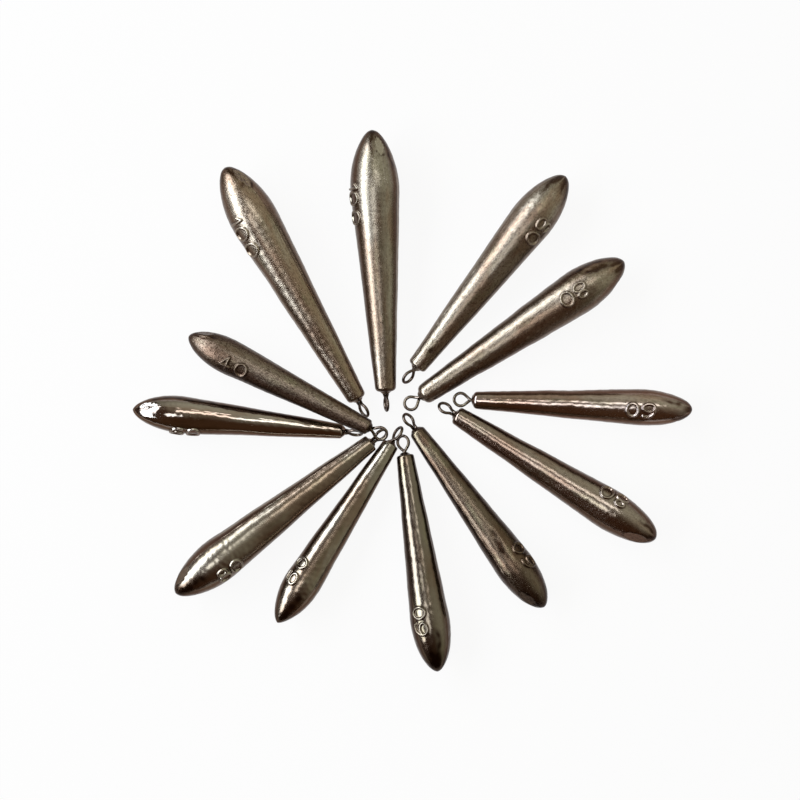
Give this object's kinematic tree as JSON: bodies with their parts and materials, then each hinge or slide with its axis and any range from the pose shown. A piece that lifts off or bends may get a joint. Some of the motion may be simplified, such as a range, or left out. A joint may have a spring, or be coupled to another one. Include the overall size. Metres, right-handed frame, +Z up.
{
  "type": "fishing sinkers",
  "caption": "Set of loose cast-lead fishing sinkers laid out as a fan, each a long tapered casting with a rounded nose and a wire eye for the line.",
  "frame": {"origin": "middle of the fan's outline, on the surface that the sinkers lie on", "axes": "+X to the right and +Y away from the viewer as the fan is laid out, +Z up; the eyes point to the middle and the noses outwards"},
  "size_m": [0.183, 0.1772, 0.0161],
  "materials": {
    "lead": "bare cast lead, dull grey-brown with a soft metallic sheen, scuffs and small pits",
    "wire": "drawn steel wire, tarnished grey-brown"
  },
  "bodies": {
    "sinker_100g_1": {"casting_100g_1": "lead", "eye_100g_1": "wire"},
    "sinker_100g_2": {"casting_100g_2": "lead", "eye_100g_2": "wire"},
    "sinker_80g_1": {"casting_80g_1": "lead", "eye_80g_1": "wire"},
    "sinker_80g_2": {"casting_80g_2": "lead", "eye_80g_2": "wire"},
    "sinker_60g_1": {"casting_60g_1": "lead", "eye_60g_1": "wire"},
    "sinker_80g_3": {"casting_80g_3": "lead", "eye_80g_3": "wire"},
    "sinker_60g_2": {"casting_60g_2": "lead", "eye_60g_2": "wire"},
    "sinker_60g_3": {"casting_60g_3": "lead", "eye_60g_3": "wire"},
    "sinker_60g_4": {"casting_60g_4": "lead", "eye_60g_4": "wire"},
    "sinker_80g_4": {"casting_80g_4": "lead", "eye_80g_4": "wire"},
    "sinker_60g_5": {"casting_60g_5": "lead", "eye_60g_5": "wire"},
    "sinker_40g_1": {"casting_40g_1": "lead", "eye_40g_1": "wire"}
  },
  "joints": [
    {"name": "take_100g_1", "type": "slide", "parent": "sinker_100g_2", "child": "sinker_100g_1", "axis": [-0.4955, 0.8686, 0], "range_m": [0, 0.09]},
    {"name": "take_80g_1", "type": "slide", "parent": "sinker_100g_2", "child": "sinker_80g_1", "axis": [0.617, 0.7869, 0], "range_m": [0, 0.09]},
    {"name": "take_80g_2", "type": "slide", "parent": "sinker_100g_2", "child": "sinker_80g_2", "axis": [0.832, 0.5548, 0], "range_m": [0, 0.09]},
    {"name": "take_60g_1", "type": "slide", "parent": "sinker_100g_2", "child": "sinker_60g_1", "axis": [0.999, -0.0436, 0], "range_m": [0, 0.09]},
    {"name": "take_80g_3", "type": "slide", "parent": "sinker_100g_2", "child": "sinker_80g_3", "axis": [0.8499, -0.527, 0], "range_m": [0, 0.09]},
    {"name": "take_60g_2", "type": "slide", "parent": "sinker_100g_2", "child": "sinker_60g_2", "axis": [0.5878, -0.809, 0], "range_m": [0, 0.09]},
    {"name": "take_60g_3", "type": "slide", "parent": "sinker_100g_2", "child": "sinker_60g_3", "axis": [0.1495, -0.9888, 0], "range_m": [0, 0.09]},
    {"name": "take_60g_4", "type": "slide", "parent": "sinker_100g_2", "child": "sinker_60g_4", "axis": [-0.5373, -0.8434, 0], "range_m": [0, 0.09]},
    {"name": "take_80g_4", "type": "slide", "parent": "sinker_100g_2", "child": "sinker_80g_4", "axis": [-0.7923, -0.6101, 0], "range_m": [0, 0.09]},
    {"name": "take_60g_5", "type": "slide", "parent": "sinker_100g_2", "child": "sinker_60g_5", "axis": [-0.9945, 0.1045, 0], "range_m": [0, 0.09]},
    {"name": "take_40g_1", "type": "slide", "parent": "sinker_100g_2", "child": "sinker_40g_1", "axis": [-0.8918, 0.4524, 0], "range_m": [0, 0.09]}
  ]
}
